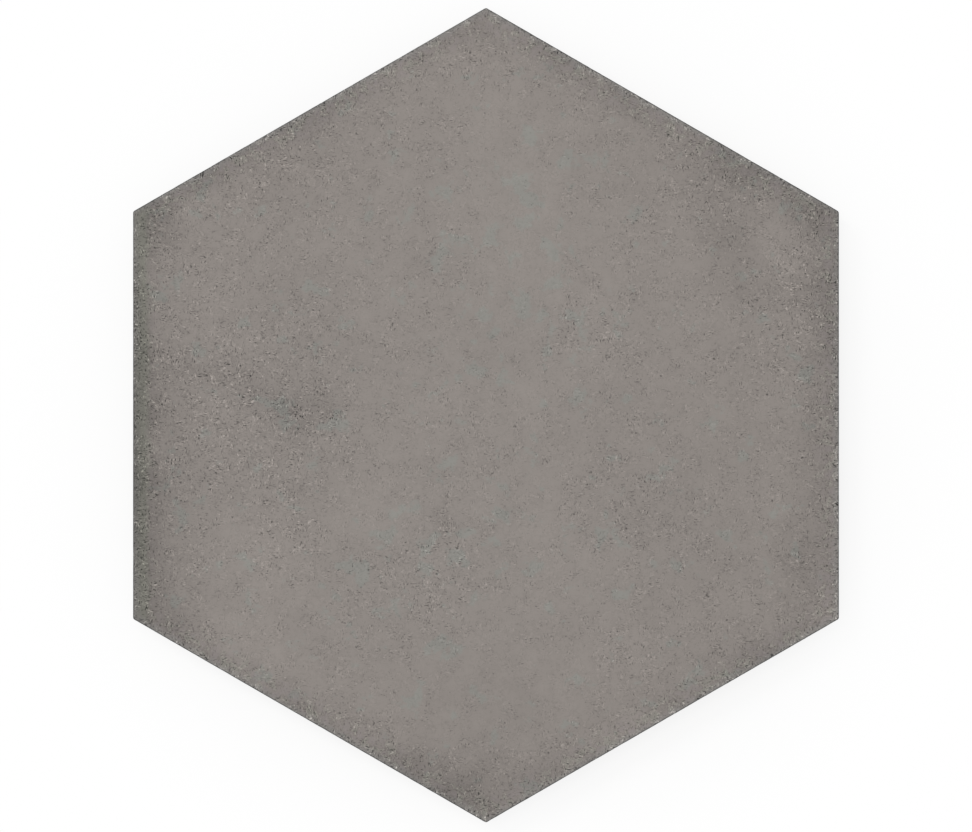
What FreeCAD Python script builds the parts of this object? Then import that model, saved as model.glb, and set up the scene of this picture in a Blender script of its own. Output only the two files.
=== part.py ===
# Hexagon floor tile: one piece of dry-pressed, fired porcelain, lying face up.
# Millimetres, +Z up. The origin is on the bedding plane, under the middle of the tile.
# Two of the six sides face along X, and two of the six points lie along Y.
import FreeCAD, Part
import math
import os

# Plan of the face
ACROSS_FLATS = 200.0  # finished size, from side to opposite side
POINT_RADIUS = 0.8  # rounding of the six points, seen from above

# Edge, from the face down to the back
THICKNESS = 9.0  # bedding plane to walking face
ARRIS_RADIUS = 0.5  # rounding between the face and the sides
LAND_FOOT = 4.5  # height at which the upright part of the side, the land, ends
DRAFT_INSET = 0.35  # how far the side leans in below the land, to leave the die
BEVEL_WIDTH = 1.0  # bevel round the back, where spare adhesive comes out
BEVEL_HEIGHT = 0.7

# Back relief: a honeycomb of shallow pockets, which keys the tile to its adhesive
POCKET_RINGS = 6  # rings of pockets round the middle one
RIM_WIDTH = 8.0  # plain rim from the outermost pockets' points to the bevel
RIB_WIDTH = 3.0  # flat top of the rib between two pockets
RELIEF_DEPTH = 0.8
FLANK_DRAFT = 40.0  # lean of a pocket's walls, in degrees from upright

# Directions in which one flat of each hexagon faces, in degrees from +X
TILE_TURN = 0.0
CELL_TURN = 30.0  # each pocket turns its flats to its neighbours

HALF_CORNER = math.radians(30.0)  # half of the turn that a hexagon makes at a corner
PLUG_OVERRUN = 0.2  # how far the pocket's plug runs out past the back
ON_PLANE = 1e-6

OUT = "parts"


def polar(radius, degrees, z=0.0):
    """Point at a distance and a direction from the Z axis."""
    angle = math.radians(degrees)
    return FreeCAD.Vector(radius * math.cos(angle), radius * math.sin(angle), z)


def flat_face(corners):
    """Plane face through a loop of corners."""
    return Part.Face(Part.makePolygon(corners + corners[:1]))


def closed_solid(faces):
    """Solid enclosed by faces that meet edge to edge."""
    return Part.Solid(Part.Shell(faces))


def outline(across, z):
    """Sides and rounded points of the tile at one level, as (straights, arcs)."""
    to_centre = (across / 2 - POINT_RADIUS) / math.cos(HALF_CORNER)
    straights = []
    arcs = []
    for side in range(6):
        normal = TILE_TURN + 60.0 * side
        start = polar(to_centre, normal - 30.0, z) + polar(POINT_RADIUS, normal)
        end = polar(to_centre, normal + 30.0, z) + polar(POINT_RADIUS, normal)
        tip = polar(to_centre + POINT_RADIUS, normal + 30.0, z)
        after = polar(to_centre, normal + 30.0, z) + polar(POINT_RADIUS, normal + 60.0)
        straights.append((start, end))
        arcs.append(Part.Arc(end, tip, after).toShape())
    return straights, arcs


def outline_face(level):
    """Level face inside an outline."""
    straights, arcs = level
    edges = []
    for (start, end), arc in zip(straights, arcs):
        edges.append(Part.LineSegment(start, end).toShape())
        edges.append(arc)
    return Part.Face(Part.Wire(edges))


def band(lower, upper):
    """Slice of the tile between two outlines: plane sides, rounded points."""
    faces = [outline_face(lower), outline_face(upper)]
    for (a, b), (d, c) in zip(lower[0], upper[0]):
        faces.append(flat_face([a, b, c, d]))
    for low_arc, high_arc in zip(lower[1], upper[1]):
        faces.append(Part.makeRuledSurface(low_arc, high_arc))
    return closed_solid(faces)


def land():
    """Upper part of the tile: upright sides, with the arris rounded over to the face."""
    foot = outline_face(outline(ACROSS_FLATS, LAND_FOOT))
    block = foot.extrude(FreeCAD.Vector(0, 0, THICKNESS - LAND_FOOT))
    on_face = [e for e in block.Edges if e.BoundBox.ZMin > THICKNESS - ON_PLANE]
    return block.makeFillet(ARRIS_RADIUS, on_face)


def blank():
    """The tile with a plain back: the land, the drafted skirt and the bevelled foot."""
    skirt_across = ACROSS_FLATS - 2 * DRAFT_INSET
    back = outline(skirt_across - 2 * BEVEL_WIDTH, 0.0)
    bevel_top = outline(skirt_across, BEVEL_HEIGHT)
    land_foot = outline(ACROSS_FLATS, LAND_FOOT)
    skirt = band(bevel_top, land_foot)
    foot = band(back, bevel_top)
    return land().fuse([skirt, foot]).removeSplitter()


def cell_pitch():
    """Distance between the middles of two neighbouring pockets, to leave the plain rim."""
    field_half = ACROSS_FLATS / 2 - DRAFT_INSET - BEVEL_WIDTH - RIM_WIDTH
    half_point = 1 / (2 * math.cos(HALF_CORNER))
    row_steps = POCKET_RINGS * math.cos(HALF_CORNER)
    return (field_half + RIB_WIDTH * half_point) / (row_steps + half_point)


def pocket_plug():
    """Drafted hexagonal plug that leaves one pocket in the back, centred on Z."""
    mouth_across = cell_pitch() - RIB_WIDTH
    lean = math.tan(math.radians(FLANK_DRAFT))
    rings = []
    for z in (-PLUG_OVERRUN, RELIEF_DEPTH):
        to_corner = (mouth_across / 2 - z * lean) / math.cos(HALF_CORNER)
        rings.append([polar(to_corner, CELL_TURN + 30.0 + 60.0 * k, z) for k in range(6)])
    outer, inner = rings
    faces = [flat_face(outer), flat_face(inner)]
    for k in range(6):
        after = (k + 1) % 6
        faces.append(flat_face([outer[k], outer[after], inner[after], inner[k]]))
    return closed_solid(faces)


def pocket_centres():
    """Middles of the pockets: a honeycomb whose outline runs parallel to the sides."""
    along = polar(cell_pitch(), CELL_TURN)
    aside = polar(cell_pitch(), CELL_TURN + 60.0)
    rings = POCKET_RINGS
    centres = []
    for i in range(-rings, rings + 1):
        for j in range(max(-rings, -i - rings), min(rings, rings - i) + 1):
            centres.append(along * i + aside * j)
    return centres


def tile():
    """The finished tile: the blank, with the honeycomb sunk into its back."""
    plug = pocket_plug()
    pockets = [plug.translated(centre) for centre in pocket_centres()]
    return blank().cut(Part.makeCompound(pockets))


def main():
    os.makedirs(OUT, exist_ok=True)
    solid = tile()
    solid.exportStep(os.path.join(OUT, "tile.step"))
    print(len(pocket_centres()), "pockets;", len(solid.Solids), "solid; valid", solid.isValid())
    print("pitch", round(cell_pitch(), 3), "volume", round(solid.Volume), solid.BoundBox)


main()
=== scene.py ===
# Hexagon floor tile, lying face up: detailed body, cement print, unglazed sides and back.
import math
import bpy
import numpy as np
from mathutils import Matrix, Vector, geometry, noise


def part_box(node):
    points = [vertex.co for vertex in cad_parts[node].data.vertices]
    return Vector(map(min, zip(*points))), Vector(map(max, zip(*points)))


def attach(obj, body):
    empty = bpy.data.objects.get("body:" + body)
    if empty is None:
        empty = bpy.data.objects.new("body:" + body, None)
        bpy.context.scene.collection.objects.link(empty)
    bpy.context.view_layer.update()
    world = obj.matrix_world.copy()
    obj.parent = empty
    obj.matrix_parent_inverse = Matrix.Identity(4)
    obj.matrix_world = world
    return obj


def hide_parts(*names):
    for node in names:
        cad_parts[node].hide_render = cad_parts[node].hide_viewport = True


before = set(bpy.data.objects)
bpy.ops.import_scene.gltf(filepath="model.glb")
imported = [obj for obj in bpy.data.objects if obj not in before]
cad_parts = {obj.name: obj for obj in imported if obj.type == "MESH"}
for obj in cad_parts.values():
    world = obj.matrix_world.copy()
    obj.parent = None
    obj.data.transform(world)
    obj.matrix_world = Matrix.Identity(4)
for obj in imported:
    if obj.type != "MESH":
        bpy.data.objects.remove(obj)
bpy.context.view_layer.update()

# Sizes of the tile, in millimetres

MM = 0.001
HALF_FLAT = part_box("tile")[1].x / MM  # middle to a side
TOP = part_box("tile")[1].z / MM
POINT_RADIUS = 0.8
ARRIS = 0.5
LAND_FOOT = 4.5
DRAFT_INSET = 0.35
BEVEL_WIDTH = 1.0
BEVEL_HEIGHT = 0.7
POCKET_RINGS = 6
RIM_WIDTH = 8.0
RIB_WIDTH = 3.0
RELIEF_DEPTH = 0.8
FLANK_DRAFT = math.tan(math.radians(40.0))
POCKET_CORNER = 1.7  # rounding of a pocket's corners at its mouth
POCKET_LIP = 0.22  # rounding between a rib and a pocket's wall
POCKET_FILLET = 0.25  # rounding between a pocket's wall and its floor

COS30 = math.cos(math.radians(30.0))
HALF_POINT = HALF_FLAT / COS30  # middle to a sharp point, and the length of a sharp side

# Unevenness of the pressed and fired tile, in millimetres
# A noise is its size along x, its size along y and a layer of its own.

FACE_SWELL = 0.05  # how far the face dips, at most, below its level
SWELL_NOISE = (38.0, 38.0, 3.1)
SWELL_SHARE = 0.55
TROWEL_NOISE = (7.0, 5.0, 9.7)
TROWEL_SHARE = 0.3
EDGE_WEAR = 0.05  # how far the arris stands back where the noise is 1
WEAR_SIZE = (2.3, 2.3)
WEAR_HEIGHT = 2.0
LONG_WEAR_NOISE = (11.0, 11.0, 5.0)
LONG_WEAR_SHARE = 0.6
SIDE_WEAR_SHARE = 0.35  # wear of the sides, as a share of the arris's
ARRIS_ZONE = 1.2 * ARRIS  # depth below the face to which the arris's full wear reaches
PRESS_NOISE = (3.1, 3.1, 17.0)
PRESS_SHARE = 0.04  # share of its depth that a pocket lacks where the noise is 1

# Steps and levels of the mesh

FACE_STEPS = 108  # rings of triangles on the face
FACE_INSET = 1.3  # where the face's even rings end
ARC_STEPS = 5  # steps round each point of the outline
ARRIS_STEPS = 5
PER_SIDE = FACE_STEPS + ARC_STEPS
PRINT_FOOT = 7.2  # height at which the print's material ends
LAND_GAP = 0.2  # distance of the nearest levels above and below the land's foot
MID_SKIRT = 2.6
BEVEL_GAP = 0.15
BEVEL_SHARES = (0.12, 0.88)  # levels on the bevel, as shares of the way down it
BACK_INSET = 0.18  # how far the flat of the back stays off the bevel
ARC_HALF = 2  # steps in half of a pocket's corner
WALL_STEPS = 3  # steps along the straight of a pocket's wall
ROUND_STEPS = 3  # steps in a pocket's lip, and in its fillet
FLOOR_SHARE = 0.55  # size of the ring on a pocket's floor, against the floor's outline
ON_LEVEL = 1e-6
INSIDE = 1e-3  # how far past its edge a point still counts as in a cell
SLIVER = 1e-4  # the least double area of a triangle that is kept
SHARP_ANGLE = math.radians(60.0)
FLAT_WEIGHT = 60  # pull of the large flat faces on the shading of the small ones

# Bake map, in units of the map

FACE_SCALE = 0.00312  # for each millimetre on the face and the sides
BACK_SCALE = 0.00176
MAP_GAP = 0.006
SIDE_STRIP = 10.5  # millimetres that each side's strip has for the edge's profile


def direction(degrees):
    angle = math.radians(degrees)
    return math.cos(angle), math.sin(angle)


def between(start, end, share):
    """Point at a share of the way from one point to another."""
    return start[0] + share * (end[0] - start[0]), start[1] + share * (end[1] - start[1])


def ripple(x, y, along, across, layer):
    """Smooth noise over the plan, from about -1 to 1."""
    return noise.noise(Vector((x / along, y / across, layer)))


# Geometry


class Skin:
    """Vertices in millimetres and faces, each with its part of the tile and its bake map."""

    def __init__(self):
        self.points = []
        self.faces = []
        self.maps = []
        self.regions = []

    def point(self, x, y, z):
        self.points.append((x, y, z))
        return len(self.points) - 1

    def face(self, corners, coords, region):
        self.faces.append(corners)
        self.maps.append(coords)
        self.regions.append(region)

    def top(self, corners):
        self.face(corners, [face_map(*self.points[i][:2]) for i in corners], "print")

    def back(self, corners):
        self.face(corners, [back_map(*self.points[i][:2]) for i in corners], "body")


def face_map(x, y):
    return MAP_GAP + (x + HALF_FLAT) * FACE_SCALE, 1 - MAP_GAP - (HALF_POINT - y) * FACE_SCALE


def back_map(x, y):
    left = 2 * MAP_GAP + 2 * HALF_FLAT * FACE_SCALE
    return left + (x + HALF_FLAT) * BACK_SCALE, 1 - MAP_GAP - (HALF_POINT - y) * BACK_SCALE


def side_map(side, along, down):
    low = MAP_GAP + side * (SIDE_STRIP * FACE_SCALE + MAP_GAP)
    return MAP_GAP + along * FACE_SCALE, low + down * FACE_SCALE


def dip(x, y):
    """How far the face lies below its level: a broad swell and a faint trowelled ripple."""
    broad = ripple(x, y, *SWELL_NOISE)
    fine = ripple(x, y, *TROWEL_NOISE)
    return FACE_SWELL * min(1.0, max(0.0, 0.5 + SWELL_SHARE * broad + TROWEL_SHARE * fine))


def on_corner(to_centre, corner, radius, normal):
    """Point on the arc that rounds a corner, where the arc faces along the normal."""
    cx, cy = direction(corner)
    nx, ny = direction(normal)
    return to_centre * cx + radius * nx, to_centre * cy + radius * ny


def outline(half, radius):
    """Points round a rounded hexagon: for each side its straight, then its arc."""
    to_centre = (half - radius) / COS30
    points = []
    for side in range(6):
        normal = 60.0 * side
        corner = normal + 30.0
        start = on_corner(to_centre, normal - 30.0, radius, normal)
        end = on_corner(to_centre, corner, radius, normal)
        for j in range(FACE_STEPS + 1):
            points.append(between(start, end, j / FACE_STEPS))
        for j in range(1, ARC_STEPS):
            points.append(on_corner(to_centre, corner, radius, normal + 60.0 * j / ARC_STEPS))
    return points


def add_face(skin):
    """The walking face: even rings of triangles. Returns its outermost ring."""
    reach = (HALF_FLAT - FACE_INSET) / COS30
    corners = [direction(60.0 * side - 30.0) for side in range(6)]
    inner = [skin.point(0.0, 0.0, TOP - dip(0.0, 0.0))] * 6
    for ring in range(1, FACE_STEPS + 1):
        size = reach * ring / FACE_STEPS
        outer = []
        for side in range(6):
            for j in range(ring):
                ux, uy = between(corners[side], corners[(side + 1) % 6], j / ring)
                x, y = size * ux, size * uy
                outer.append(skin.point(x, y, TOP - dip(x, y)))
        join_rings(skin, inner, outer, ring)
        inner = outer
    return inner


def join_rings(skin, inner, outer, ring):
    """Triangles between one even ring of the face and the one inside it."""
    low = ring - 1
    for side in range(6):
        for j in range(ring):
            a = outer[side * ring + j]
            b = outer[(side * ring + j + 1) % (6 * ring)]
            c = inner[(side * low + j) % len(inner)]
            skin.top((c, a, b))
            if j < low:
                skin.top((c, b, inner[(side * low + j + 1) % len(inner)]))


def edge_profile():
    """(inset, height, corner radius) down the edge, from the face to the back."""
    levels = []
    for j in range(ARRIS_STEPS + 1):
        a = math.radians(90.0 * j / ARRIS_STEPS)
        inset = ARRIS * (1 - math.sin(a))
        levels.append((inset, TOP - ARRIS * (1 - math.cos(a)), POINT_RADIUS - inset))
    for z in (PRINT_FOOT, LAND_FOOT + LAND_GAP):
        levels.append((0.0, z, POINT_RADIUS))
    lean = DRAFT_INSET / (LAND_FOOT - BEVEL_HEIGHT)
    for z in (LAND_FOOT - LAND_GAP, MID_SKIRT, BEVEL_HEIGHT + BEVEL_GAP):
        levels.append((lean * (LAND_FOOT - z), z, POINT_RADIUS))
    for share in BEVEL_SHARES:
        levels.append((DRAFT_INSET + share * BEVEL_WIDTH, (1 - share) * BEVEL_HEIGHT, POINT_RADIUS))
    levels.append((DRAFT_INSET + BEVEL_WIDTH + BACK_INSET, 0.0, POINT_RADIUS))
    return levels


def worn(x, y, z):
    """A point of the edge, set back by the wear of the arris and the grain of the pressing."""
    short = ripple(x, y, *WEAR_SIZE, z / WEAR_HEIGHT)
    uneven = short + LONG_WEAR_SHARE * ripple(x, y, *LONG_WEAR_NOISE)
    share = 1.0 if z > TOP - ARRIS_ZONE else SIDE_WEAR_SHARE
    back = EDGE_WEAR * share * max(0.0, uneven)
    length = math.hypot(x, y)
    return x * (1 - back / length), y * (1 - back / length)


def edge_ring(skin, inset, z, radius):
    """Points round the edge at one level. On the arris the level dips with the face."""
    ring = []
    for x, y in outline(HALF_FLAT - inset, radius):
        if z > 0.0:
            x, y = worn(x, y, z)
        drop = dip(x, y) * max(0.0, 1 - inset) if z > TOP - ARRIS + ON_LEVEL else 0.0
        ring.append(skin.point(x, y, z - drop))
    return ring


def add_edge(skin, face_ring):
    """Arris, land, skirt and bevel. Returns the outline of the back."""
    levels = edge_profile()
    above = edge_ring(skin, *levels[0])
    bridge(skin, face_ring, above)
    down = 0.0
    for (last_inset, last_z, _), (inset, z, radius) in zip(levels, levels[1:]):
        ring = edge_ring(skin, inset, z, radius)
        after = ring[1:] + ring[:1]
        quads = list(zip(above, ring, after, above[1:] + above[:1]))
        if z > TOP - ARRIS - ON_LEVEL:
            for quad in quads:
                skin.top(quad)
        else:
            lower = down + math.hypot(inset - last_inset, z - last_z)
            add_side_band(skin, quads, down, lower, "print" if z >= PRINT_FOOT else "body")
            down = lower
        above = ring
    return above


def add_side_band(skin, quads, down, lower, region):
    """A band round the six sides, each laid flat in its own strip of the bake map."""
    for i, quad in enumerate(quads):
        side, at = divmod(i, PER_SIDE)
        start, end = at / PER_SIDE * HALF_POINT, (at + 1) / PER_SIDE * HALF_POINT
        places = ((start, down), (start, lower), (end, lower), (end, down))
        skin.face(quad, [side_map(side, *place) for place in places], region)


def bridge(skin, face_ring, edge_ring):
    """Joins the face's sharp-cornered ring to the rounded outline at the arris."""
    for side in range(6):
        for j in range(FACE_STEPS):
            a = face_ring[side * FACE_STEPS + j]
            b = face_ring[(side * FACE_STEPS + j + 1) % len(face_ring)]
            c = edge_ring[side * PER_SIDE + j]
            d = edge_ring[side * PER_SIDE + j + 1]
            skin.top((a, c, d, b))
        corner = face_ring[((side + 1) * FACE_STEPS) % len(face_ring)]
        for j in range(FACE_STEPS, PER_SIDE):
            c = edge_ring[side * PER_SIDE + j]
            d = edge_ring[(side * PER_SIDE + j + 1) % len(edge_ring)]
            skin.top((corner, c, d))


def cell_pitch():
    """Distance between the middles of two neighbouring pockets."""
    field_half = HALF_FLAT - DRAFT_INSET - BEVEL_WIDTH - RIM_WIDTH
    half_point = 1 / (2 * COS30)
    return (field_half + RIB_WIDTH * half_point) / (POCKET_RINGS * COS30 + half_point)


def pocket_centres(pitch):
    """Middles of the pockets: a honeycomb whose outline runs parallel to the sides."""
    (ax, ay), (bx, by) = direction(30.0), direction(90.0)
    rings = POCKET_RINGS
    centres = []
    for i in range(-rings, rings + 1):
        for j in range(max(-rings, -i - rings), min(rings, rings - i) + 1):
            centres.append((pitch * (i * ax + j * bx), pitch * (i * ay + j * by)))
    return centres


def pocket_ring(half, radius):
    """Points round a pocket, from the middle of one corner's arc to that of the next."""
    to_centre = (half - radius) / COS30
    points = []
    for side in range(6):
        normal = 30.0 + 60.0 * side
        before, after = normal - 30.0, normal + 30.0
        start = on_corner(to_centre, before, radius, normal)
        end = on_corner(to_centre, after, radius, normal)
        for j in range(ARC_HALF):
            points.append(on_corner(to_centre, before, radius, before + 30.0 * j / ARC_HALF))
        for j in range(WALL_STEPS):
            points.append(between(start, end, j / WALL_STEPS))
        for j in range(ARC_HALF):
            points.append(on_corner(to_centre, after, radius, normal + 30.0 * j / ARC_HALF))
    return points


def cell_ring(half):
    """Points round a sharp cell, as many as round a pocket."""
    steps = 2 * ARC_HALF + WALL_STEPS
    reach = half / COS30
    points = []
    for side in range(6):
        for j in range(steps):
            ux, uy = between(direction(60.0 * side), direction(60.0 * side + 60.0), j / steps)
            points.append((reach * ux, reach * uy))
    return points


def pocket_profile(mouth):
    """(half width, height) down a pocket, from its rib to its floor."""
    levels = []
    wall_angle = math.atan(FLANK_DRAFT)  # of the wall from upright
    turn = math.pi / 2 - wall_angle  # from the rib's plane to the wall's
    reach = POCKET_LIP * math.tan(turn / 2)
    for j in range(ROUND_STEPS + 1):
        a = turn * j / ROUND_STEPS
        levels.append((mouth + reach - POCKET_LIP * math.sin(a), POCKET_LIP * (1 - math.cos(a))))
    floor_half = mouth - RELIEF_DEPTH * FLANK_DRAFT
    reach = POCKET_FILLET * math.tan(turn / 2)
    for j in range(ROUND_STEPS + 1):
        a = turn * (1 - j / ROUND_STEPS)
        half = floor_half - reach + POCKET_FILLET * math.sin(a)
        levels.append((half, RELIEF_DEPTH - POCKET_FILLET * (1 - math.cos(a))))
    return levels


def pocket_levels(mouth):
    """(ring of points, height) down a pocket, from its rib to the middle of its floor."""
    profile = pocket_profile(mouth)
    levels = [(pocket_ring(half, POCKET_CORNER + half - mouth), z) for half, z in profile]
    floor_ring = [(FLOOR_SHARE * x, FLOOR_SHARE * y) for x, y in levels[-1][0]]
    return levels + [(floor_ring, RELIEF_DEPTH)]


def pressed(skin, x, y, z):
    """A point in a pocket, with the slight unevenness of pressed powder."""
    return skin.point(x, y, z * (1 - PRESS_SHARE * max(0.0, ripple(x, y, *PRESS_NOISE))))


def add_pocket(skin, cell, levels, cx, cy):
    """One pocket, from its cell's edge on the ribs down to its floor."""
    loops = [cell]
    for ring, z in levels:
        loops.append([pressed(skin, cx + x, cy + y, z) for x, y in ring])
    count = len(cell)
    for i in range(count):
        j = (i + 1) % count
        for outer, inner in zip(loops, loops[1:]):
            skin.back((outer[j], outer[i], inner[i], inner[j]))
    middle = pressed(skin, cx, cy, RELIEF_DEPTH)
    for i in range(count):
        skin.back((loops[-1][(i + 1) % count], loops[-1][i], middle))


def add_back(skin, rim_ring):
    """Honeycomb of pockets, and the plain rim round it."""
    pitch = cell_pitch()
    centres = pocket_centres(pitch)
    cell = cell_ring(pitch / 2)
    levels = pocket_levels((pitch - RIB_WIDTH) / 2)
    lattice = len(cell) // 2  # neighbouring cells meet at whole steps of this part of the pitch
    shared = {}
    open_edges = {}
    for cx, cy in centres:
        corners = []
        for x, y in cell:
            across = (cx + x) / (pitch * COS30)
            key = (round(lattice * across), round(lattice * ((cy + y) / pitch - across / 2)))
            if key not in shared:
                shared[key] = skin.point(cx + x, cy + y, 0.0)
            corners.append(shared[key])
        add_pocket(skin, corners, levels, cx, cy)
        for a, b in zip(corners, corners[1:] + corners[:1]):
            if (b, a) in open_edges:
                del open_edges[(b, a)]
            else:
                open_edges[(a, b)] = True
    fill_rim(skin, rim_ring, open_edges, centres, pitch)


def in_honeycomb(x, y, centres, pitch):
    """Whether a point lies in one of the cells."""
    normals = [direction(turn) for turn in (30.0, 90.0, 150.0)]
    for cx, cy in centres:
        dx, dy = x - cx, y - cy
        if math.hypot(dx, dy) > pitch:
            continue
        if max(abs(dx * nx + dy * ny) for nx, ny in normals) < pitch / 2 + INSIDE:
            return True
    return False


def fill_rim(skin, rim_ring, open_edges, centres, pitch):
    """Flat triangles between the outline of the back and the outermost cells."""
    flat = rim_ring + sorted({i for edge in open_edges for i in edge})
    where = {i: k for k, i in enumerate(flat)}
    coords = [Vector(skin.points[i][:2]) for i in flat]
    edges = [(k, (k + 1) % len(rim_ring)) for k in range(len(rim_ring))]
    edges += [(where[a], where[b]) for a, b in open_edges]
    verts, _, triangles, sources, *_ = geometry.delaunay_2d_cdt(coords, edges, [], 0, ON_LEVEL)
    for triangle in triangles:
        x = sum(verts[i].x for i in triangle) / 3
        y = sum(verts[i].y for i in triangle) / 3
        if in_honeycomb(x, y, centres, pitch):
            continue
        a, b, c = (flat[sources[i][0]] for i in triangle)
        (px, py, _), (qx, qy, _), (rx, ry, _) = (skin.points[i] for i in (a, b, c))
        turn = (qx - px) * (ry - py) - (qy - py) * (rx - px)
        if abs(turn) > SLIVER:
            skin.back((a, c, b) if turn > 0 else (a, b, c))


def build_tile():
    skin = Skin()
    face_ring = add_face(skin)
    rim_ring = add_edge(skin, face_ring)
    add_back(skin, rim_ring)
    mesh = bpy.data.meshes.new("tile_body")
    mesh.from_pydata([(x * MM, y * MM, z * MM) for x, y, z in skin.points], [], skin.faces)
    uv = mesh.uv_layers.new(name="OFBake")
    uv.data.foreach_set("uv", [c for face in skin.maps for pair in face for c in pair])
    slots = {"print": 0, "body": 1}
    mesh.polygons.foreach_set("material_index", [slots[region] for region in skin.regions])
    add_marks(mesh, skin.points)
    mesh.shade_smooth()
    mesh.set_sharp_from_angle(angle=SHARP_ANGLE)
    mesh.update()
    obj = bpy.data.objects.new("tile_body", mesh)
    bpy.context.scene.collection.objects.link(obj)
    weighted = obj.modifiers.new("flats", "WEIGHTED_NORMAL")
    weighted.keep_sharp = True
    weighted.weight = FLAT_WEIGHT
    return obj


# Materials


class Tree:
    """Short calls for building a node tree. A number or a socket can be given as an input."""

    def __init__(self, tree):
        self.tree = tree

    def node(self, kind, inputs=None, **settings):
        n = self.tree.nodes.new(kind)
        for name, value in settings.items():
            setattr(n, name, value)
        for name, value in (inputs or {}).items():
            self.feed(n.inputs[name], value)
        return n

    def feed(self, socket, value):
        if isinstance(value, bpy.types.NodeSocket):
            self.tree.links.new(value, socket)
        else:
            socket.default_value = value

    def math(self, operation, *values):
        return self.node("ShaderNodeMath", dict(enumerate(values)), operation=operation).outputs[0]

    def vector(self, operation, *values):
        n = self.node("ShaderNodeVectorMath", dict(enumerate(values)), operation=operation)
        return n.outputs["Value" if operation in ("DOT_PRODUCT", "LENGTH") else "Vector"]

    def fold(self, operation, values):
        out = values[0]
        for value in values[1:]:
            out = self.math(operation, out, value)
        return out

    def total(self, *values):
        return self.fold("ADD", values)

    def largest(self, *values):
        return self.fold("MAXIMUM", values)

    def times(self, value, weight):
        return self.math("MULTIPLY", value, weight)

    def swing(self, value, middle=0.5):
        """How far a value lies above its middle."""
        return self.math("SUBTRACT", value, middle)

    def weighed(self, layers, weights, *base):
        """Sum of the layers that the weights name, on top of a base where there is one."""
        products = [self.times(layers[name], weight) for name, weight in weights.items()]
        return self.total(*base, *products)

    def noise(self, vector, name):
        scale, detail, rough, distort = NOISE[name]
        inputs = {"Vector": vector, "Scale": scale, "Detail": detail, "Roughness": rough}
        return self.node("ShaderNodeTexNoise", inputs | {"Distortion": distort}).outputs["Fac"]

    def ramp(self, value, low, high, out_low=0.0, out_high=1.0):
        """Smooth step from one value to another, as the input goes from low to high."""
        inputs = {"Value": value, "From Min": low, "From Max": high, "To Min": out_low, "To Max": out_high}
        return self.node("ShaderNodeMapRange", inputs, interpolation_type="SMOOTHSTEP").outputs["Result"]

    def line(self, value, level, far, near):
        """1 where a value is within near of a level, and 0 where it is further off than far."""
        return self.ramp(self.math("ABSOLUTE", self.swing(value, level)), far, near)

    def mix(self, share, a, b, blend="MIX"):
        n = self.node("ShaderNodeMix", {}, data_type="RGBA", blend_type=blend, clamp_factor=True)
        for index, value in ((0, share), (6, a), (7, b)):
            self.feed(n.inputs[index], value)
        return n.outputs[2]

    def painted(self, colour, coats):
        """A colour under coats of others, each with its share."""
        for share, tint in coats:
            colour = self.mix(share, colour, tint)
        return colour

    def blend(self, share, a, b):
        """A value between two others."""
        return self.node("ShaderNodeMix", {0: share, 2: a, 3: b}, data_type="FLOAT").outputs[0]

    def attribute(self, name):
        return self.node("ShaderNodeAttribute", attribute_name=name).outputs["Fac"]

    def parts(self, vector):
        return self.node("ShaderNodeSeparateXYZ", {"Vector": vector}).outputs

    def mix_shaders(self, share, a, b):
        return self.node("ShaderNodeMixShader", {0: share, 1: a, 2: b}).outputs[0]

    def surface(self, kind, shader):
        self.node(kind, {"Surface": shader})


def new_material(name):
    material = bpy.data.materials.new(name)
    material.use_nodes = True
    material.node_tree.nodes.clear()
    return material, Tree(material.node_tree)


def rgb(r, g, b):
    """Linear colour of an sRGB one given in 0 to 255."""
    linear = []
    for v in (r, g, b):
        v /= 255.0
        linear.append(v / 12.92 if v <= 0.04045 else ((v + 0.055) / 1.055) ** 2.4)
    return (*linear, 1.0)


# Marks of the print, as seen from above, each in millimetres from the middle of the tile:
# x, y, half length, half width, turn in degrees, strength.

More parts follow.
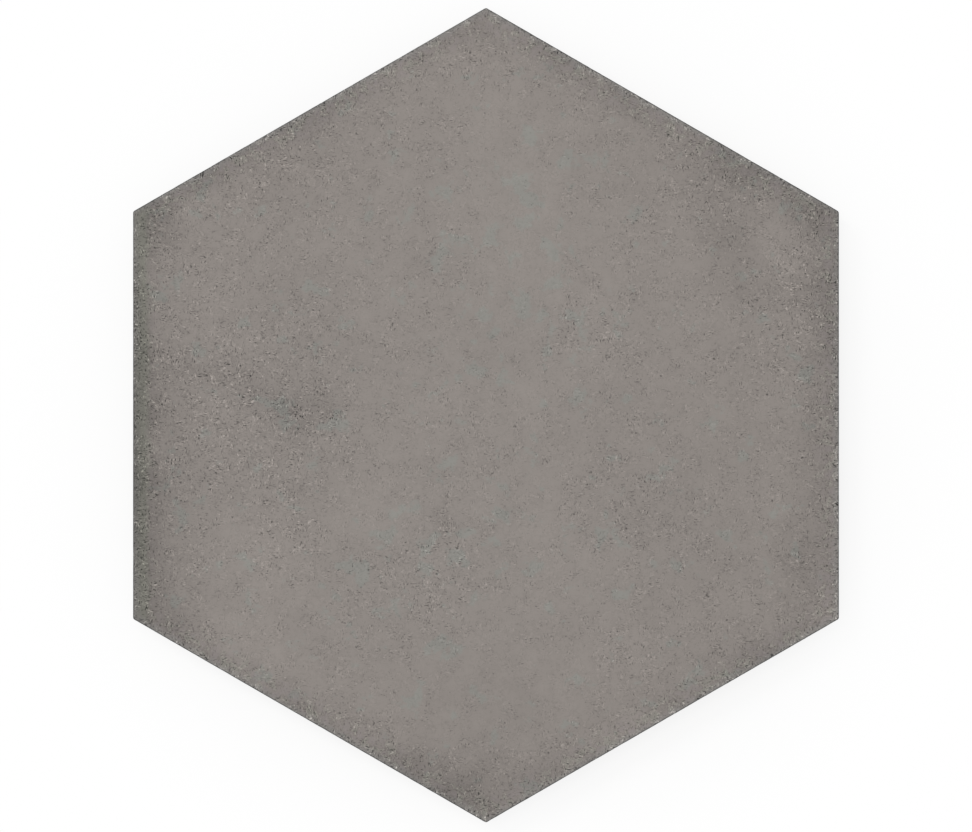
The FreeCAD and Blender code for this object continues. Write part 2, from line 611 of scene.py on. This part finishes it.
# Smudges. A negative strength is a pale patch.
SMUDGES = {
    "left smudge": (-52.0, 1.0, 17.0, 9.0, -15.0, 0.7),
    "left smudge's heart": (-51.5, 0.5, 10.0, 6.0, -20.0, 1.15),
    "left smudge's tail": (-73.0, 10.0, 18.0, 6.5, -25.0, 1.25),
    "above the left smudge": (-54.0, 24.0, 20.0, 13.0, 60.0, 0.65),
    "upper right band": (64.0, 62.0, 22.0, 11.0, -65.0, 1.0),
    "upper right band's end": (78.0, 34.0, 16.0, 7.0, -15.0, 0.95),
    "upper right band's middle": (68.0, 49.0, 13.0, 7.0, -80.0, 0.6),
    "right arc": (44.0, -26.0, 22.0, 9.0, 10.0, 0.3),
    "right arc's end": (44.0, -30.0, 8.0, 5.5, 0.0, 0.5),
    "right low spot": (63.0, -40.0, 10.0, 8.0, 0.0, 0.35),
    "middle right streak": (27.0, 24.0, 10.0, 4.0, -10.0, 0.35),
    "low middle spot": (-13.0, -31.0, 8.0, 5.5, 0.0, 0.8),
    "low middle trail": (-16.0, -53.0, 15.0, 10.0, 90.0, 0.35),
    "low left spot": (-58.0, -28.0, 14.0, 8.0, 30.0, 0.4),
    "upper spot": (-8.0, 70.0, 9.0, 6.0, 0.0, 0.35),
    "upper middle spot": (-12.0, 43.0, 10.0, 6.0, 10.0, 0.4),
    "upper left streak": (-52.0, 72.0, 18.0, 9.0, 25.0, 0.65),
    "right pale patch": (84.5, 46.5, 13.0, 6.5, -25.0, -0.1),
    "middle pale column": (12.0, 45.0, 22.0, 44.0, 5.0, -0.45),
    "top pale patch": (-4.0, 84.0, 10.0, 7.0, 20.0, -0.3),
    "left upper shade": (-77.0, 46.0, 16.0, 10.0, 0.0, 0.35),
    "upper left shade": (-58.0, 58.0, 13.0, 8.0, 0.0, 0.45),
    "lower left shade": (-82.0, -47.0, 16.0, 11.0, 90.0, 0.65),
    "left low shade": (-69.0, -16.0, 20.0, 13.0, 0.0, 0.6),
    "low left pale patch": (-30.0, -29.0, 14.0, 10.0, 0.0, -0.5),
    "lower left pale field": (-68.0, -45.0, 18.0, 22.0, 20.0, -0.3),
    "right pale spot": (66.0, 1.0, 10.0, 7.0, 0.0, -0.3),
    "lower pale field": (12.0, -62.0, 30.0, 16.0, 0.0, -0.4),
    "pale field by the right arc": (18.0, -30.0, 24.0, 18.0, -60.0, -0.5),
    "lower left pale band": (-60.0, -68.0, 18.0, 8.0, -30.0, -0.7),
    "upper left pale patch": (-24.0, 58.0, 14.0, 7.0, 90.0, -0.4),
}
# Soot along the sides.
SOOT = {
    "left side, low": (-100.0, -15.0, 44.0, 5.5, 90.0, 3.05),
    "left side, high": (-100.0, 34.0, 24.0, 4.5, 90.0, 1.8),
    "left side, foot": (-96.0, -46.0, 15.0, 6.0, 90.0, 1.05),
    "left side, wide": (-97.0, -6.0, 46.0, 13.0, 90.0, 1.5),
    "left side, gap": (-94.5, -7.0, 6.0, 3.5, 90.0, -1.0),
    "left lower corner": (-91.0, -59.0, 9.0, 6.0, -30.0, 1.5),
    "left upper corner": (-95.0, 55.0, 9.0, 7.0, 90.0, 2.2),
    "upper left side": (-50.0, 84.5, 17.0, 5.0, 30.0, 1.3),
    "upper left side's foot": (-80.0, 67.5, 16.0, 4.5, 30.0, 1.3),
    "top, left": (-18.0, 103.0, 12.0, 3.5, 30.0, 0.6),
    "top": (0.0, 111.0, 7.0, 5.0, 0.0, 0.2),
    "upper right side, high": (22.0, 102.0, 12.0, 4.5, -30.0, 1.15),
    "upper right side, middle": (43.0, 88.0, 13.0, 5.5, -30.0, 0.85),
    "upper right side, low": (77.0, 70.5, 15.0, 7.0, -30.0, 1.8),
    "right upper corner": (93.5, 58.0, 10.0, 8.0, -50.0, 2.05),
    "right side, high": (98.5, 33.0, 18.0, 7.0, 90.0, 1.3),
    "right side, low": (88.5, -43.0, 15.0, 7.5, 90.0, 1.0),
    "right side, wide": (98.0, 4.0, 46.0, 12.0, 90.0, 0.68),
    "lower right side, high": (78.0, -69.0, 11.0, 4.5, 30.0, 0.9),
    "lower right side, low": (57.0, -81.0, 9.0, 5.0, 30.0, 0.25),
    "lower right side, gap": (38.0, -89.0, 9.0, 4.5, 30.0, -0.8),
    "lower right side, foot": (15.0, -102.0, 9.0, 4.0, 30.0, 0.9),
    "bottom": (-2.0, -103.5, 9.0, 11.0, 0.0, 1.1),
    "bottom, left": (-15.0, -104.5, 18.0, 7.0, -30.0, 1.8),
    "lower left side, middle": (-52.0, -84.0, 12.0, 4.0, -30.0, 0.9),
    "lower left side, high": (-78.0, -69.5, 10.0, 3.5, -30.0, 1.0),
}
# Where the grain is coarse, and where it is calm.
GRAIN = {
    "left field": (-73.0, -4.0, 34.0, 22.0, 90.0, 0.36),
    "low left field": (-58.0, -32.0, 20.0, 14.0, 90.0, 0.2),
    "low middle field": (-16.0, -44.0, 17.0, 11.0, 0.0, 0.3),
    "right arc": (39.0, -30.0, 20.0, 11.0, -20.0, 0.2),
    "middle right": (29.0, 24.0, 13.0, 9.0, 0.0, 0.25),
    "right field": (87.0, 33.0, 26.0, 12.0, 90.0, 0.38),
    "upper left": (-53.0, 78.0, 22.0, 8.0, 30.0, 0.25),
    "left upper field": (-86.0, 40.0, 24.0, 12.0, 90.0, 0.12),
    "left smudge's end": (-43.0, -4.0, 9.0, 9.0, 0.0, 0.32),
    "low right field": (38.0, -67.0, 9.0, 8.0, 0.0, 0.3),
    "lower right corner": (95.0, -52.0, 9.0, 7.0, 90.0, 0.3),
    "calm upper middle": (9.0, 52.0, 34.0, 13.0, 90.0, -0.25),
    "calm bottom": (1.0, -78.0, 34.0, 13.0, 0.0, -0.22),
    "calm left middle": (-26.0, -6.0, 11.0, 11.0, 0.0, -0.1),
    "calm low left": (-71.0, -28.0, 13.0, 9.0, 90.0, -0.38),
    "calm upper right": (69.0, 44.0, 19.0, 10.0, 90.0, -0.26),
}
# Where the cool patches gather.
COOL = {
    "middle column": (10.0, 42.0, 48.0, 24.0, 85.0, 1.0),
    "lower diagonal": (-14.0, -38.0, 48.0, 17.0, 15.0, 1.0),
    "left of the column": (-25.0, 52.0, 20.0, 9.0, 80.0, 0.6),
    "left middle": (-46.0, -3.0, 18.0, 6.0, 0.0, 0.3),
}

# Each mask that the print reads: its marks, then how long the waves in their edges are and how
# far these reach, in millimetres.
MASKS = {
    "smudge": (SMUDGES, 9.0, 3.2),
    "soot": (SOOT, 5.0, 1.6),
    "grain": (GRAIN, 9.0, 5.0),
    "cool": (COOL, 9.0, 5.0),
}
MARK_END = 1.6  # a mark fades out at this many times its half length and half width
MASK_DEPTH = 2.0  # millimetres below the face to which the masks go
QUICK_WAVES = 2.6  # how many times finer the second waves of a mark's edge are
QUICK_SHARE = 0.5
SLOW_LAYER = 1.7  # slices of the noise that the two kinds of waves are taken from
QUICK_LAYER = 8.3

# Colours

GROUND = rgb(138.7, 132.0, 126.8)
GROUND_COOL = rgb(137, 135.4, 129.9)
SOOT_TINT = rgb(137, 133.6, 130)
SOOT_OLIVE = rgb(136, 135, 126)
RIM_OLIVE = rgb(137, 135.3, 126)
SOOT_MAUVE = rgb(140, 132, 131)
ARRIS_TINT = rgb(133, 132, 131)
BODY = rgb(158, 153, 145)
BODY_DARK = rgb(128, 123, 116)
BODY_PALE = rgb(178, 173, 165)
BODY_SPECK = rgb(88, 82, 76)
KILN_WASH = rgb(206, 203, 196)
WHITE = (1.0, 1.0, 1.0, 1.0)

# Noise of the materials: waves in a millimetre, detail, roughness, distortion

NOISE = {
    "ragged": (0.16, 4.0, 0.7, 0.0),
    "cloud": (0.045, 3.0, 0.55, 0.0),
    "mottle": (0.2, 3.0, 0.6, 0.0),
    "weave": (0.42, 1.0, 0.5, 0.0),
    "fine": (2.6, 0.0, 0.5, 0.0),
    "medium": (1.7, 1.0, 0.6, 0.0),
    "coarse": (0.62, 1.0, 0.6, 0.0),
    "swirl": (0.4, 2.0, 0.6, 0.4),
    "tint": (0.13, 3.0, 0.65, 0.0),
    "print end": (0.6, 3.0, 0.7, 0.0),
    "body cloud": (0.09, 4.0, 0.6, 0.0),
    "body crumb": (1.1, 4.0, 0.7, 0.0),
    "body grain": (3.2, 2.0, 0.7, 0.0),
    "body drag": (2.2, 3.0, 0.6, 0.0),
    "wash edge": (0.5, 3.0, 0.7, 0.0),
    "wash patches": (0.16, 4.0, 0.7, 0.0),
}
PORES = 0.42  # cells in a millimetre, each with one pore or none
BODY_SPECKS = 0.9
WEAVE_STRETCH = ((0.5, 1.4, 1.0), (1.4, 0.5, 1.0))  # of the fine grain: lying, standing
DRAG_STRETCH = (1.0, 1.0, 0.12)  # the die drags the powder along the upright sides

# Ramps: the value at which each form sets in, the one at which it is whole, and what these
# two give where it isn't 0 and 1

RAMPS = {
    "rim": (16.0, -2.0),
    "brink": (2.6, 0.0),
    "arris, from the side": (0.42, 0.2),
    "arris, in height": (TOP - 0.42, TOP - 0.2),
    # Painted shade on the arris: a dark line in the colour along the top edge, for the shade where the
    # rounded edge turns from the light
    "painted arris shade": (0.35, 0.65, 50.0, 22.0),
    "patch": (0.36, 0.68),
    "weave": (0.46, 0.54),
    "speck": (0.57, 0.74),
    "fleck": (0.42, 0.27),
    "cluster": (0.4, 0.62, 0.62, 1.57),
    "pore": (0.13, 0.04),
    "pore's depth": (0.45, 0.95),
    "cool": (0.6, 0.67),
    "near a side": (9.0, 1.0, 0.0, 0.6),
    "olive soot": (0.53, 0.6),
    "mauve soot": (0.47, 0.4),
    "olive side": (-94.5, -97.0),
    "print end": (8.6, 9.2),
    "wash": (0.42, 0.2),
    "wash patches": (0.38, 0.62, 0.25, 0.95),
}
# Lines along which a noise crosses a level: the level, where they set in and where they are whole
HALO = (0.545, 0.045, 0.0)
FURROW = (0.5, 0.045, 0.01)
RIDGE = (0.57, 0.045, 0.01)

# Weights of the print's layers

RAGGED_REACH = 14.0  # millimetres by which the rim's soot wanders
BRINK_FRAY = 0.2  # wandering of other lines, as shares of the rim's
NEAR_SIDE_FRAY = 0.4
OLIVE_FRAY = 0.2
PRINT_END_FRAY = 1.6  # millimetres
FINE_SHARE, MEDIUM_SHARE = 0.65, 0.35
RIDGE_SHARE = 0.7
COOL_SHARE = 0.08
BUSY_BASE = 0.13
BUSY_LEAST = 0.12
BUSY = {"patch": 0.42, "rim": 0.42, "brink": 0.75, "soot": 0.17, "smudge": 0.3, "grain": 1.0}
# Darkness is in steps of an 8-bit grey.
GRIT_BASE = 1.5
GRIT_DARKNESS = {
    "speck": 50.0,
    "halo": -10.0,
    "fleck": -15.0,
    "grit swing": 38.0,
    "coarse swing": 10.0,
    "wrinkle": 6.0,
}
DARKNESS = {
    "cloud swing": 9.0,
    "mottle swing": 12.0,
    "smudge": 5.5,
    "soot": 7.0,
    "rim": 5.5,
    "wrinkle": 2.0,
    "graining": 1.0,
    "pore": 28.0,
}
DARK_STEP = 0.98167  # share of the light that one step of darkness leaves
PRINT_ROUGHNESS = 0.6
PRINT_ROUGHENING = {"speck": 0.1, "mottle swing": 0.12}
PRINT_RELIEF = {"grit": -0.6, "coarse": 0.4, "pore": -0.8}
PRINT_BUMP = (0.35, 0.00006)  # strength, and depth in metres

# Layers of the unglazed body, painted one over another: the layer, its ramp and its colour

BODY_COATS = (
    ("cloud", (0.35, 0.7, 0.0, 0.6), BODY_DARK),
    ("crumb", (0.52, 0.68, 0.0, 0.75), BODY_DARK),
    ("crumb", (0.47, 0.33, 0.0, 0.6), BODY_PALE),
    ("speck", (0.16, 0.08, 0.0, 0.5), BODY_SPECK),
    ("grain", (0.3, 0.75, 0.0, 0.5), BODY_DARK),
    ("drag", (0.62, 0.8, 0.0, 0.25), BODY_DARK),
)
WASH_FRAY = 0.5  # millimetres
BODY_ROUGHNESS = 0.72
BODY_ROUGHENING = {"grain": 0.16}
BODY_RELIEF = {"drag": 0.5, "crumb": 0.7, "grain": 0.35}
BODY_BUMP = (0.5, 0.00012)

IOR = 1.5
SPECULAR = 0.3


def wander(points, size, reach):
    """How far noise moves each point, so that the edge of a mark is ragged."""
    shifts = []
    for x, y in points:
        slow = noise.noise_vector(Vector((x / size, y / size, SLOW_LAYER)))
        quick = noise.noise_vector(Vector((x * QUICK_WAVES / size, y * QUICK_WAVES / size, QUICK_LAYER)))
        shifts.append((slow.x + QUICK_SHARE * quick.x, slow.y + QUICK_SHARE * quick.y))
    return reach * np.array(shifts)


def marks(points, table):
    """Sum of soft ellipses at each point, each a named mark on the face."""
    total = np.zeros(len(points))
    for x, y, half_length, half_width, turn, strength in table.values():
        c, s = direction(turn)
        dx, dy = points[:, 0] - x, points[:, 1] - y
        away = np.hypot((dx * c + dy * s) / half_length, (dy * c - dx * s) / half_width)
        near = np.clip(1.0 - away / MARK_END, 0.0, 1.0)
        total += strength * near * near * (3.0 - 2.0 * near)
    return total


def add_marks(mesh, points):
    """Stores where the marks lie, as masks that the print's material reads."""
    flat = np.array([(x, y) for x, y, z in points])
    on_face = np.array([z > TOP - MASK_DEPTH for x, y, z in points])
    face = flat[on_face]
    for name, (table, size, reach) in MASKS.items():
        values = np.zeros(len(points))
        values[on_face] = marks(face + wander(face, size, reach), table)
        mask = mesh.attributes.new(name, "FLOAT", "POINT")
        mask.data.foreach_set("value", values)


def millimetres(t):
    """The point in millimetres, in the tile's own frame."""
    metres = t.node("ShaderNodeTexCoord").outputs["Object"]
    return t.vector("MULTIPLY", metres, (1 / MM, 1 / MM, 1 / MM))


def body_layers(t, point):
    """What the look of the unglazed porcelain is made from."""
    specks = t.node("ShaderNodeTexVoronoi", {"Vector": point, "Scale": BODY_SPECKS})
    return {
        "cloud": t.noise(point, "body cloud"),
        "crumb": t.noise(point, "body crumb"),
        "grain": t.noise(point, "body grain"),
        "drag": t.noise(t.vector("MULTIPLY", point, DRAG_STRETCH), "body drag"),
        "speck": specks.outputs["Distance"],
    }


def body_colour(t, point, layers):
    """Unglazed porcelain, with kiln wash on the ribs."""
    coats = [(t.ramp(layers[name], *reach), tint) for name, reach, tint in BODY_COATS]
    height = t.parts(point)["Z"]
    wash_edge = t.total(height, t.times(t.noise(point, "wash edge"), WASH_FRAY))
    patchy = t.ramp(t.noise(point, "wash patches"), *RAMPS["wash patches"])
    wash = t.times(t.ramp(wash_edge, *RAMPS["wash"]), patchy)
    return t.mix(wash, t.painted(BODY, coats), KILN_WASH)


def side_distance(t, point):
    """How far a point lies inside the nearest side, in millimetres."""
    across = []
    for turn in (0.0, 60.0, 120.0):
        across.append(t.math("ABSOLUTE", t.vector("DOT_PRODUCT", point, (*direction(turn), 0.0))))
    return t.math("SUBTRACT", HALF_FLAT, t.largest(*across))


def place_layers(t, point):
    """Layers of the print that follow the outline, the marks and slow noise."""
    place = t.parts(point)
    from_side = side_distance(t, point)
    ragged = t.times(t.swing(t.noise(point, "ragged")), RAGGED_REACH)
    mottle = t.noise(point, "mottle")
    on_arris = t.ramp(from_side, *RAMPS["arris, from the side"])
    layers = {name: t.attribute(name) for name in MASKS}
    return layers | {
        "x": place["X"],
        "height": place["Z"],
        "from side": from_side,
        "ragged": ragged,
        "cloud swing": t.swing(t.noise(point, "cloud")),
        "mottle": mottle,
        "mottle swing": t.swing(mottle),
        "patch": t.ramp(mottle, *RAMPS["patch"]),
        "rim": t.ramp(t.total(from_side, ragged), *RAMPS["rim"]),
        "brink": t.ramp(t.total(from_side, t.times(ragged, BRINK_FRAY)), *RAMPS["brink"]),
        "arris": t.times(on_arris, t.ramp(place["Z"], *RAMPS["arris, in height"])),
    }


def grain_layers(t, point):
    """Layers of the print's grain: grit with its specks, wrinkles in swirls, and pores."""
    lying, standing = (t.noise(t.vector("MULTIPLY", point, s), "fine") for s in WEAVE_STRETCH)
    weave = t.ramp(t.noise(point, "weave"), *RAMPS["weave"])
    fine = t.times(t.blend(weave, lying, standing), FINE_SHARE)
    grit = t.total(fine, t.times(t.noise(point, "medium"), MEDIUM_SHARE))
    coarse = t.noise(point, "coarse")
    swirl = t.noise(point, "swirl")
    ridge = t.times(t.line(swirl, *RIDGE), RIDGE_SHARE)
    return {
        "grit": grit,
        "grit swing": t.swing(grit),
        "coarse": coarse,
        "coarse swing": t.swing(coarse),
        "speck": t.ramp(grit, *RAMPS["speck"]),
        "fleck": t.ramp(grit, *RAMPS["fleck"]),
        "halo": t.line(grit, *HALO),
        "swirl": swirl,
        "cluster": t.ramp(swirl, *RAMPS["cluster"]),
        "wrinkle": t.math("SUBTRACT", t.line(swirl, *FURROW), ridge),
        "pore": pore_layer(t, point),
    }


def pore_layer(t, point):
    """Small round pores, each of its own depth, and many of none."""
    pores = t.node("ShaderNodeTexVoronoi", {"Vector": point, "Scale": PORES}).outputs
    kind = t.node("ShaderNodeSeparateColor", {"Color": pores["Color"]}).outputs[0]
    return t.times(t.ramp(pores["Distance"], *RAMPS["pore"]), t.ramp(kind, *RAMPS["pore's depth"]))


def print_darkness(t, layers):
    """Darkness of the print: slow changes of tone, marks, grain where it is busy, pores, and painted shade
    along the arris where the edge turns away from the light.
    """
    busy = t.largest(t.weighed(layers, BUSY, BUSY_BASE), BUSY_LEAST)
    graininess = t.weighed(layers, GRIT_DARKNESS, GRIT_BASE)
    graining = t.times(t.times(graininess, busy), layers["cluster"])
    dark = t.weighed(layers | {"graining": graining}, DARKNESS)
    # Painted shade: the arris is darkened in the colour itself, for the shade where the edge turns away
    # from the light
    painted_arris_shade = t.times(layers["arris"], t.ramp(layers["mottle"], *RAMPS["painted arris shade"]))
    return t.total(dark, painted_arris_shade)


def print_tint(t, point, layers):
    """Colour of the print before its darkness: warm ground, cool patches, soot on the rim."""
    ragged, swirl = layers["ragged"], layers["swirl"]
    coolness = t.total(t.noise(point, "tint"), t.times(layers["cool"], COOL_SHARE))
    frayed = t.total(layers["from side"], t.times(ragged, NEAR_SIDE_FRAY))
    near_side = t.ramp(frayed, *RAMPS["near a side"])
    olive_side = t.total(layers["x"], t.times(ragged, OLIVE_FRAY))
    return t.painted(GROUND, (
        (t.ramp(coolness, *RAMPS["cool"]), GROUND_COOL),
        (t.times(t.ramp(swirl, *RAMPS["olive soot"]), near_side), SOOT_OLIVE),
        (t.times(t.ramp(swirl, *RAMPS["mauve soot"]), near_side), SOOT_MAUVE),
        (t.ramp(olive_side, *RAMPS["olive side"]), RIM_OLIVE),
        (layers["brink"], SOOT_TINT),
        (layers["arris"], ARRIS_TINT),
    ))


def print_material():
    """The cement print, which ends raggedly on the side, a little below the face."""
    material, t = new_material("cement_print")
    point = millimetres(t)
    layers = place_layers(t, point) | grain_layers(t, point)
    shade = t.math("POWER", DARK_STEP, print_darkness(t, layers))
    grey = t.node("ShaderNodeCombineColor", {"Red": shade, "Green": shade, "Blue": shade})
    printed = t.mix(1.0, print_tint(t, point, layers), grey.outputs[0], "MULTIPLY")
    body = body_colour(t, point, body_layers(t, point))
    frayed = t.total(layers["height"], t.times(t.noise(point, "print end"), PRINT_END_FRAY))
    colour = t.mix(t.ramp(frayed, *RAMPS["print end"]), body, printed)
    rough = t.weighed(layers, PRINT_ROUGHENING, PRINT_ROUGHNESS)
    finish(t, colour, rough, t.weighed(layers, PRINT_RELIEF), *PRINT_BUMP)
    return material


def body_material():
    """Bare porcelain of the sides and the back."""
    material, t = new_material("bare_porcelain")
    point = millimetres(t)
    layers = body_layers(t, point)
    rough = t.weighed(layers, BODY_ROUGHENING, BODY_ROUGHNESS)
    finish(t, body_colour(t, point, layers), rough, t.weighed(layers, BODY_RELIEF), *BODY_BUMP)
    return material


def finish(t, colour, rough, relief, strength, depth):
    """The surface of either material, with its relief as a bump."""
    bump = t.node("ShaderNodeBump", {"Strength": strength, "Distance": depth, "Height": relief})
    shader = t.node("ShaderNodeBsdfPrincipled", {
        "Base Color": colour,
        "Roughness": rough,
        "Normal": bump.outputs[0],
        "IOR": IOR,
        "Specular IOR Level": SPECULAR,
    })
    t.surface("ShaderNodeOutputMaterial", shader.outputs[0])


# Floor, light and camera, in metres and watts

FLOOR_HALF = 4.0
FLOOR_DROP = 0.0001  # below the tile's bedding plane
SHADOW_SHARE = 0.22  # how much of the floor's look near the tile is its own light and shade
SHADOW_REACH = (0.1, 0.15)  # where the floor starts to turn plain white, and where it is
WORLD_LIGHT = 0.6
# Soft round lights, each aimed at the tile: place, diameter, power
LIGHTS = {
    "overhead": ((-0.15, 0.2, 1.6), 1.2, 7.0),
    "key": ((-1.1, 0.9, 1.3), 0.7, 6.5),
    "from below": ((-0.7, -0.6, -1.2), 0.6, 6.0),
}
CAMERA_PLACE = (0.0, -0.00023, 0.7736)
LENS = 100.0  # millimetres
SENSOR = 36.0


def seen(t):
    """1 for the rays that look at a thing: the camera's, reflected ones and those through glass."""
    path = t.node("ShaderNodeLightPath").outputs
    return t.largest(path["Is Camera Ray"], path["Is Glossy Ray"], path["Is Transmission Ray"])


def white_floor():
    """White floor with a little of its own shade beside the tile. From below it isn't seen."""
    mesh = bpy.data.meshes.new("floor")
    corners = [(-FLOOR_HALF, -FLOOR_HALF), (FLOOR_HALF, -FLOOR_HALF), (FLOOR_HALF, FLOOR_HALF)]
    corners.append((-FLOOR_HALF, FLOOR_HALF))
    mesh.from_pydata([(x, y, 0.0) for x, y in corners], [], [(0, 1, 2, 3)])
    floor = bpy.data.objects.new("floor", mesh)
    floor.location.z = -FLOOR_DROP
    bpy.context.scene.collection.objects.link(floor)
    floor.visible_diffuse = False
    floor.visible_shadow = False
    material, t = new_material("white_floor")
    glow = t.node("ShaderNodeEmission", {"Color": WHITE, "Strength": 1.0}).outputs[0]
    matt = t.node("ShaderNodeBsdfDiffuse", {"Color": WHITE}).outputs[0]
    away = t.vector("LENGTH", t.node("ShaderNodeTexCoord").outputs["Object"])
    own = t.ramp(away, *SHADOW_REACH, 1.0 - SHADOW_SHARE, 1.0)
    lit = t.mix_shaders(t.times(seen(t), own), matt, glow)
    below = t.node("ShaderNodeNewGeometry").outputs["Backfacing"]
    clear = t.node("ShaderNodeBsdfTransparent").outputs[0]
    t.surface("ShaderNodeOutputMaterial", t.mix_shaders(below, lit, clear))
    mesh.materials.append(material)


def white_world():
    """Even light from all round, and plain white where the world itself is seen."""
    world = bpy.data.worlds.new("studio")
    bpy.context.scene.world = world
    world.use_nodes = True
    world.node_tree.nodes.clear()
    t = Tree(world.node_tree)
    light = t.node("ShaderNodeBackground", {"Color": WHITE, "Strength": WORLD_LIGHT}).outputs[0]
    white = t.node("ShaderNodeBackground", {"Color": WHITE, "Strength": 1.0}).outputs[0]
    t.surface("ShaderNodeOutputWorld", t.mix_shaders(seen(t), light, white))


def soft_light(name, place, size, power):
    data = bpy.data.lights.new(name, "AREA")
    data.shape = "DISK"
    data.size = size
    data.energy = power
    lamp = bpy.data.objects.new(name, data)
    lamp.location = place
    lamp.rotation_mode = "QUATERNION"
    lamp.rotation_quaternion = (-Vector(place)).to_track_quat("-Z", "Y")
    bpy.context.scene.collection.objects.link(lamp)


def camera():
    """Square on, looking straight down at the face."""
    data = bpy.data.cameras.new("camera")
    data.lens = LENS
    data.sensor_width = SENSOR
    eye = bpy.data.objects.new("camera", data)
    eye.location = CAMERA_PLACE
    bpy.context.scene.collection.objects.link(eye)
    bpy.context.scene.camera = eye


tile = build_tile()
tile.data.materials.append(print_material())
tile.data.materials.append(body_material())
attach(tile, "root")
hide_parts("tile")

white_floor()
white_world()
for name, (place, size, power) in LIGHTS.items():
    soft_light(name, place, size, power)
camera()
bpy.context.scene.view_settings.view_transform = "Standard"
